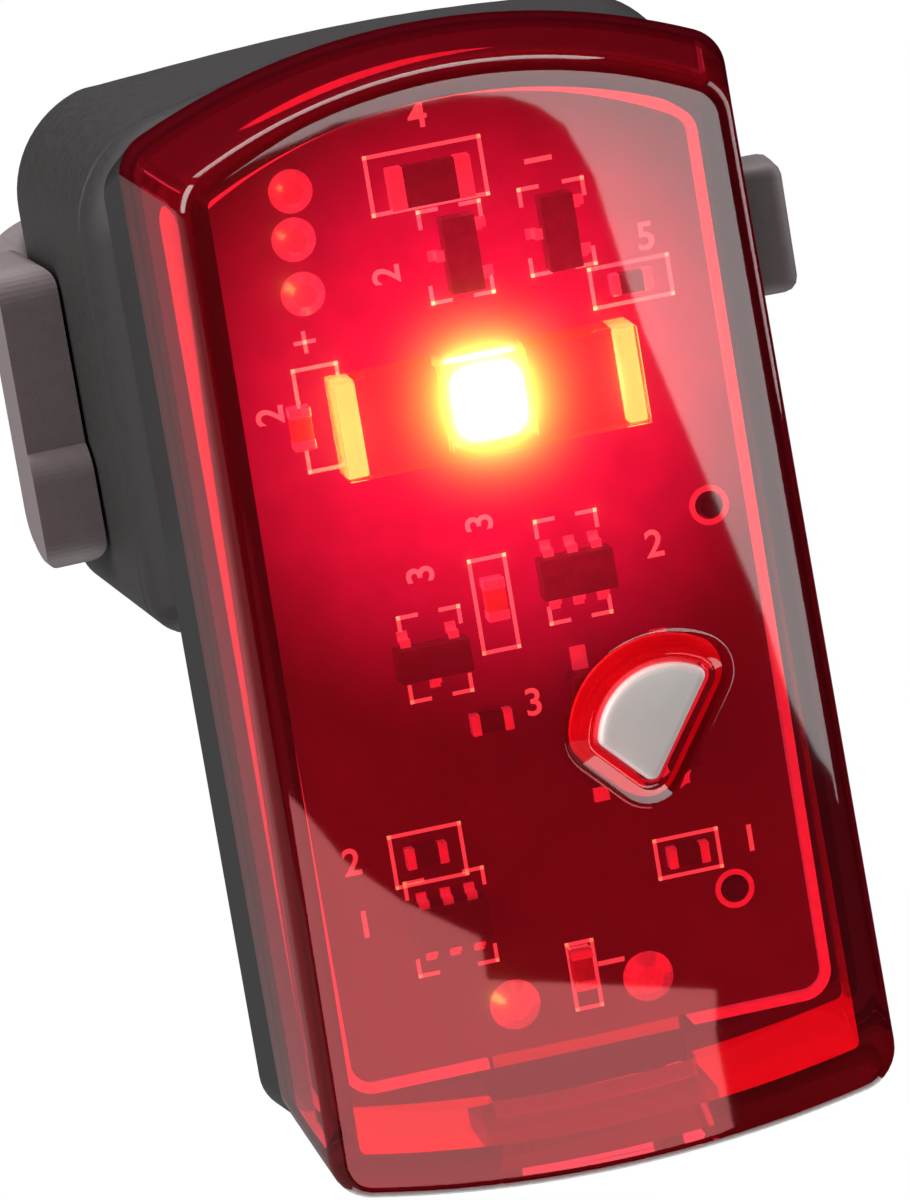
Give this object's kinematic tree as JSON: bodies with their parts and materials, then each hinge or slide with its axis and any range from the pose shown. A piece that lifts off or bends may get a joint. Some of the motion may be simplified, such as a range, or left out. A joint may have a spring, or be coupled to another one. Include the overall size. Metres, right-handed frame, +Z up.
{
  "type": "bicycle rear light",
  "caption": "Rear bicycle light: red lens over a circuit board and LED, with a push key and a rubber-covered charging socket, slid onto a strap bracket for a round post.",
  "frame": {"origin": "on the seat post's axis, at mid-height of the saddle pad", "axes": "+Z up along the post, the lens faces -Y, +X is to its right as seen from the front"},
  "size_m": [0.0323, 0.0491, 0.0448],
  "materials": {
    "lens_red": "clear red, polished",
    "shell_black": "satin black moulding",
    "seal_rubber": "soft black",
    "frame_white": "white moulding",
    "board_laminate": "dark solder mask",
    "led_white": "white package",
    "led_glow": "lit phosphor",
    "clear_optic": "clear moulding",
    "chip_black": "black moulding",
    "capacitor_body": "brown ceramic",
    "tinned_metal": "bright tin",
    "key_white": "translucent white",
    "cell_foil": "dull foil",
    "foam_grey": "grey foam",
    "socket_steel": "plated sheet",
    "bracket_soft": "soft-touch black",
    "strap_rubber": "matte black rubber"
  },
  "bodies": {
    "bracket": {"mount_block": "bracket_soft", "saddle_pad": "strap_rubber", "strap_band": "strap_rubber"},
    "lamp": {"lens": "lens_red", "rear_housing": "shell_black", "housing_seal": "seal_rubber", "board_frame": "frame_white", "circuit_board": "board_laminate", "led_package": "led_white", "led_die": "led_glow", "led_optic": "clear_optic", "sense_resistor": "chip_black", "chip_resistors": "chip_black", "chip_capacitors": "capacitor_body", "transistors": "chip_black", "driver_chips": "chip_black", "chip_leads": "tinned_metal", "solder_joints": "tinned_metal", "switch_body": "chip_black", "switch_leads": "tinned_metal", "battery_cell": "cell_foil", "battery_pad": "foam_grey", "battery_tabs": "tinned_metal", "usb_socket": "socket_steel", "usb_tongue": "chip_black"},
    "power_button": {"power_button": "key_white"},
    "switch_plunger": {"switch_plunger": "key_white"},
    "usb_cover": {"usb_cover": "strap_rubber"},
    "strap_tab": {"strap_tab": "strap_rubber"}
  },
  "joints": [
    {"name": "lamp_slide", "type": "slide", "parent": "bracket", "child": "lamp", "axis": [0, 0, 1], "range_m": [0, 0.02]},
    {"name": "button_press", "type": "slide", "parent": "lamp", "child": "power_button", "axis": [0, 1, 0], "range_m": [0, 0.00025], "stiffness_N_per_m": 800},
    {"name": "plunger_press", "type": "slide", "parent": "lamp", "child": "switch_plunger", "axis": [0, 1, 0], "range_m": [0, 0.00025]},
    {"name": "cover_hinge", "type": "hinge", "parent": "lamp", "child": "usb_cover", "pos_m": [0, -0.02507, -0.03206], "axis": [1, 0, 0], "range_deg": [0, 110]},
    {"name": "tab_bend", "type": "hinge", "parent": "bracket", "child": "strap_tab", "pos_m": [-0.0149, -0.00744, -0.0008], "axis": [0, 0, -1], "range_deg": [0, 80]}
  ],
  "couplings": [
    {"joint": "plunger_press", "follows": "button_press", "ratio": 1}
  ]
}
